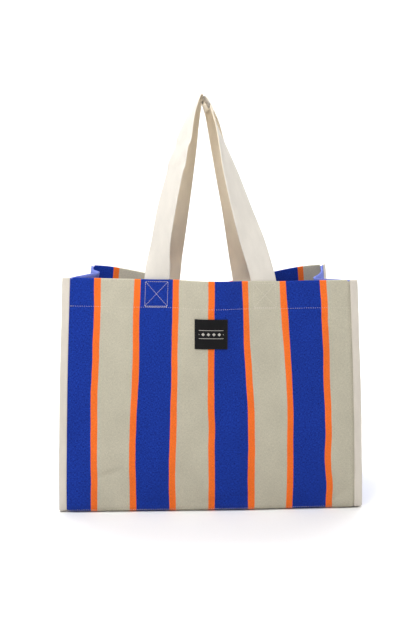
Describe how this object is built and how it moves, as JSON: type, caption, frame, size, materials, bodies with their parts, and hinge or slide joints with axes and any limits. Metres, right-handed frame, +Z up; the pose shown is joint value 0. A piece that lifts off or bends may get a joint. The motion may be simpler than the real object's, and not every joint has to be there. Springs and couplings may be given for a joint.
{
  "type": "gusseted carry bag",
  "caption": "Open-topped gusseted canvas carry bag with taped side seams, a hemmed rim and long webbing handles that swing over it.",
  "frame": {"origin": "bottom centre of the bounding box, on the surface that the base stands on", "axes": "+Z up along the handles, +X to the right as the front is seen, +Y from the front wall to the back wall"},
  "size_m": [0.463, 0.203, 0.6247],
  "materials": {
    "striped_canvas": "matt plain-weave canvas in wide blue and grey-green stripes edged with orange",
    "blue_canvas": "matt plain-weave canvas",
    "binding_cotton": "natural cotton tape",
    "webbing_cotton": "natural cotton webbing, ribbed",
    "label_weave": "fine woven label",
    "natural_thread": "spun sewing thread",
    "black_thread": "spun sewing thread"
  },
  "bodies": {
    "bag": {"body_cloth": "striped_canvas", "left_gusset": "blue_canvas", "right_gusset": "blue_canvas", "left_binding_tape": "binding_cotton", "right_binding_tape": "binding_cotton", "front_left_strap_end": "webbing_cotton", "front_right_strap_end": "webbing_cotton", "back_left_strap_end": "webbing_cotton", "back_right_strap_end": "webbing_cotton", "woven_label": "label_weave", "label_stitch": "black_thread", "front_hem_stitch": "natural_thread", "back_hem_stitch": "natural_thread", "left_gusset_hem_stitch": "natural_thread", "right_gusset_hem_stitch": "natural_thread", "front_left_box_stitch": "natural_thread", "front_right_box_stitch": "natural_thread", "back_left_box_stitch": "natural_thread", "back_right_box_stitch": "natural_thread", "left_binding_stitch": "natural_thread", "right_binding_stitch": "natural_thread", "front_base_stitch": "natural_thread", "back_base_stitch": "natural_thread"},
    "front_handle": {"front_handle_loop": "webbing_cotton"},
    "back_handle": {"back_handle_loop": "webbing_cotton"}
  },
  "joints": [
    {"name": "front_handle_swing", "type": "hinge", "parent": "bag", "child": "front_handle", "pos_m": [0, -0.068, 0.3523], "axis": [1, 0, 0], "range_deg": [0, 176]},
    {"name": "back_handle_swing", "type": "hinge", "parent": "bag", "child": "back_handle", "pos_m": [0, 0.087, 0.342], "axis": [-1, 0, 0], "range_deg": [0, 180]}
  ]
}
